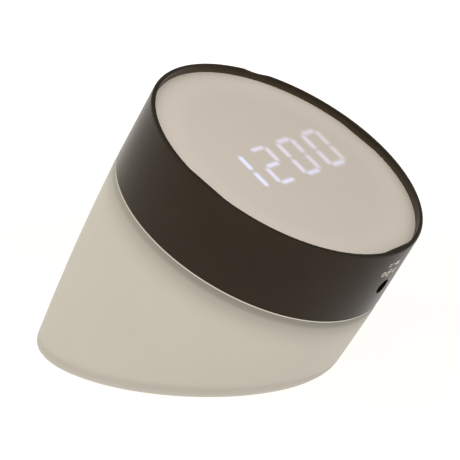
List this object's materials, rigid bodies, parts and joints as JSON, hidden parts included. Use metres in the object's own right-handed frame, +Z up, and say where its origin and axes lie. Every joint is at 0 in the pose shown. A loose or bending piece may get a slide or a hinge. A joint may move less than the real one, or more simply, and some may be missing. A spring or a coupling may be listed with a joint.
{
  "type": "alarm clock",
  "caption": "Leaning round alarm clock: a dark ring with a recessed glowing digital face on a tapered pale body that stands on its slanted base.",
  "frame": {"origin": "on the table, in the plane of symmetry, midway between the frontmost point of the rim and the back of the base", "axes": "+Z up; the face looks up and towards -Y, with 6 o'clock of the face and the power jack towards -Y and 3 o'clock towards +X"},
  "size_m": [0.08, 0.1097, 0.0811],
  "materials": {
    "ring": "fine satin, warm dark brown",
    "face": "satin mirror tint over a beige coat",
    "body": "fine satin beige",
    "base": "fine texture, warm dark brown",
    "keys": "satin",
    "pads": "matt",
    "lit": "glowing bluish white",
    "unlit": "milky",
    "board": "green solder mask",
    "black_plastic": "moulded",
    "gold": "plain",
    "steel": "zinc plated",
    "tin": "nickel plated",
    "capacitor_sleeve": "shrunk sleeve",
    "white_plastic": "moulded",
    "red_wire": "soft",
    "black_wire": "soft",
    "cells": "plain wrapped jacket, no lettering"
  },
  "bodies": {
    "case": {"ring_bezel": "ring", "face_plate": "face", "display_housing": "black_plastic", "lit_segments": "lit", "dark_segments": "unlit", "display_board": "board", "header_strips": "black_plastic", "header_pins": "gold", "main_board": "board", "board_screws": "steel", "dc_jack": "black_plastic", "jack_pin": "tin", "switch_bodies": "black_plastic", "controller_chip": "black_plastic", "chip_legs": "tin", "clock_crystal": "steel", "smoothing_capacitor": "capacitor_sleeve", "buzzer_case": "black_plastic", "buzzer_disc": "gold", "tilt_can": "steel", "lead_socket": "white_plastic", "lead_plus": "red_wire", "lead_minus": "black_wire", "body_shell": "body", "body_screws": "steel", "base_plate": "base", "base_screws": "steel", "foot_pads": "pads", "cell_left": "cells", "cell_middle": "cells", "cell_right": "cells", "contact_plates": "tin"},
    "key_minus": {"key_minus": "keys", "switch_stem_minus": "tin"},
    "key_set": {"key_set": "keys", "switch_stem_set": "tin"},
    "key_plus": {"key_plus": "keys", "switch_stem_plus": "tin"},
    "tilt_ball": {"tilt_ball": "steel"},
    "battery_door": {"battery_door": "base"}
  },
  "joints": [
    {"name": "key_minus_press", "type": "slide", "parent": "case", "child": "key_minus", "axis": [0.2079, -0.8471, -0.4891], "range_m": [0, 0.0004], "stiffness_N_per_m": 1200, "springref_m": -0.0006},
    {"name": "key_set_press", "type": "slide", "parent": "case", "child": "key_set", "axis": [0, -0.866, -0.5], "range_m": [0, 0.0004], "stiffness_N_per_m": 1200, "springref_m": -0.0006},
    {"name": "key_plus_press", "type": "slide", "parent": "case", "child": "key_plus", "axis": [-0.2079, -0.8471, -0.4891], "range_m": [0, 0.0004], "stiffness_N_per_m": 1200, "springref_m": -0.0006},
    {"name": "tilt_ball_roll", "type": "slide", "parent": "case", "child": "tilt_ball", "axis": [0, -0.5, 0.866], "range_m": [0, 0.0034]},
    {"name": "battery_door_swing", "type": "hinge", "parent": "case", "child": "battery_door", "pos_m": [0, -0.0131, 0.0003], "axis": [-1, 0, 0], "range_deg": [0, 75]}
  ]
}
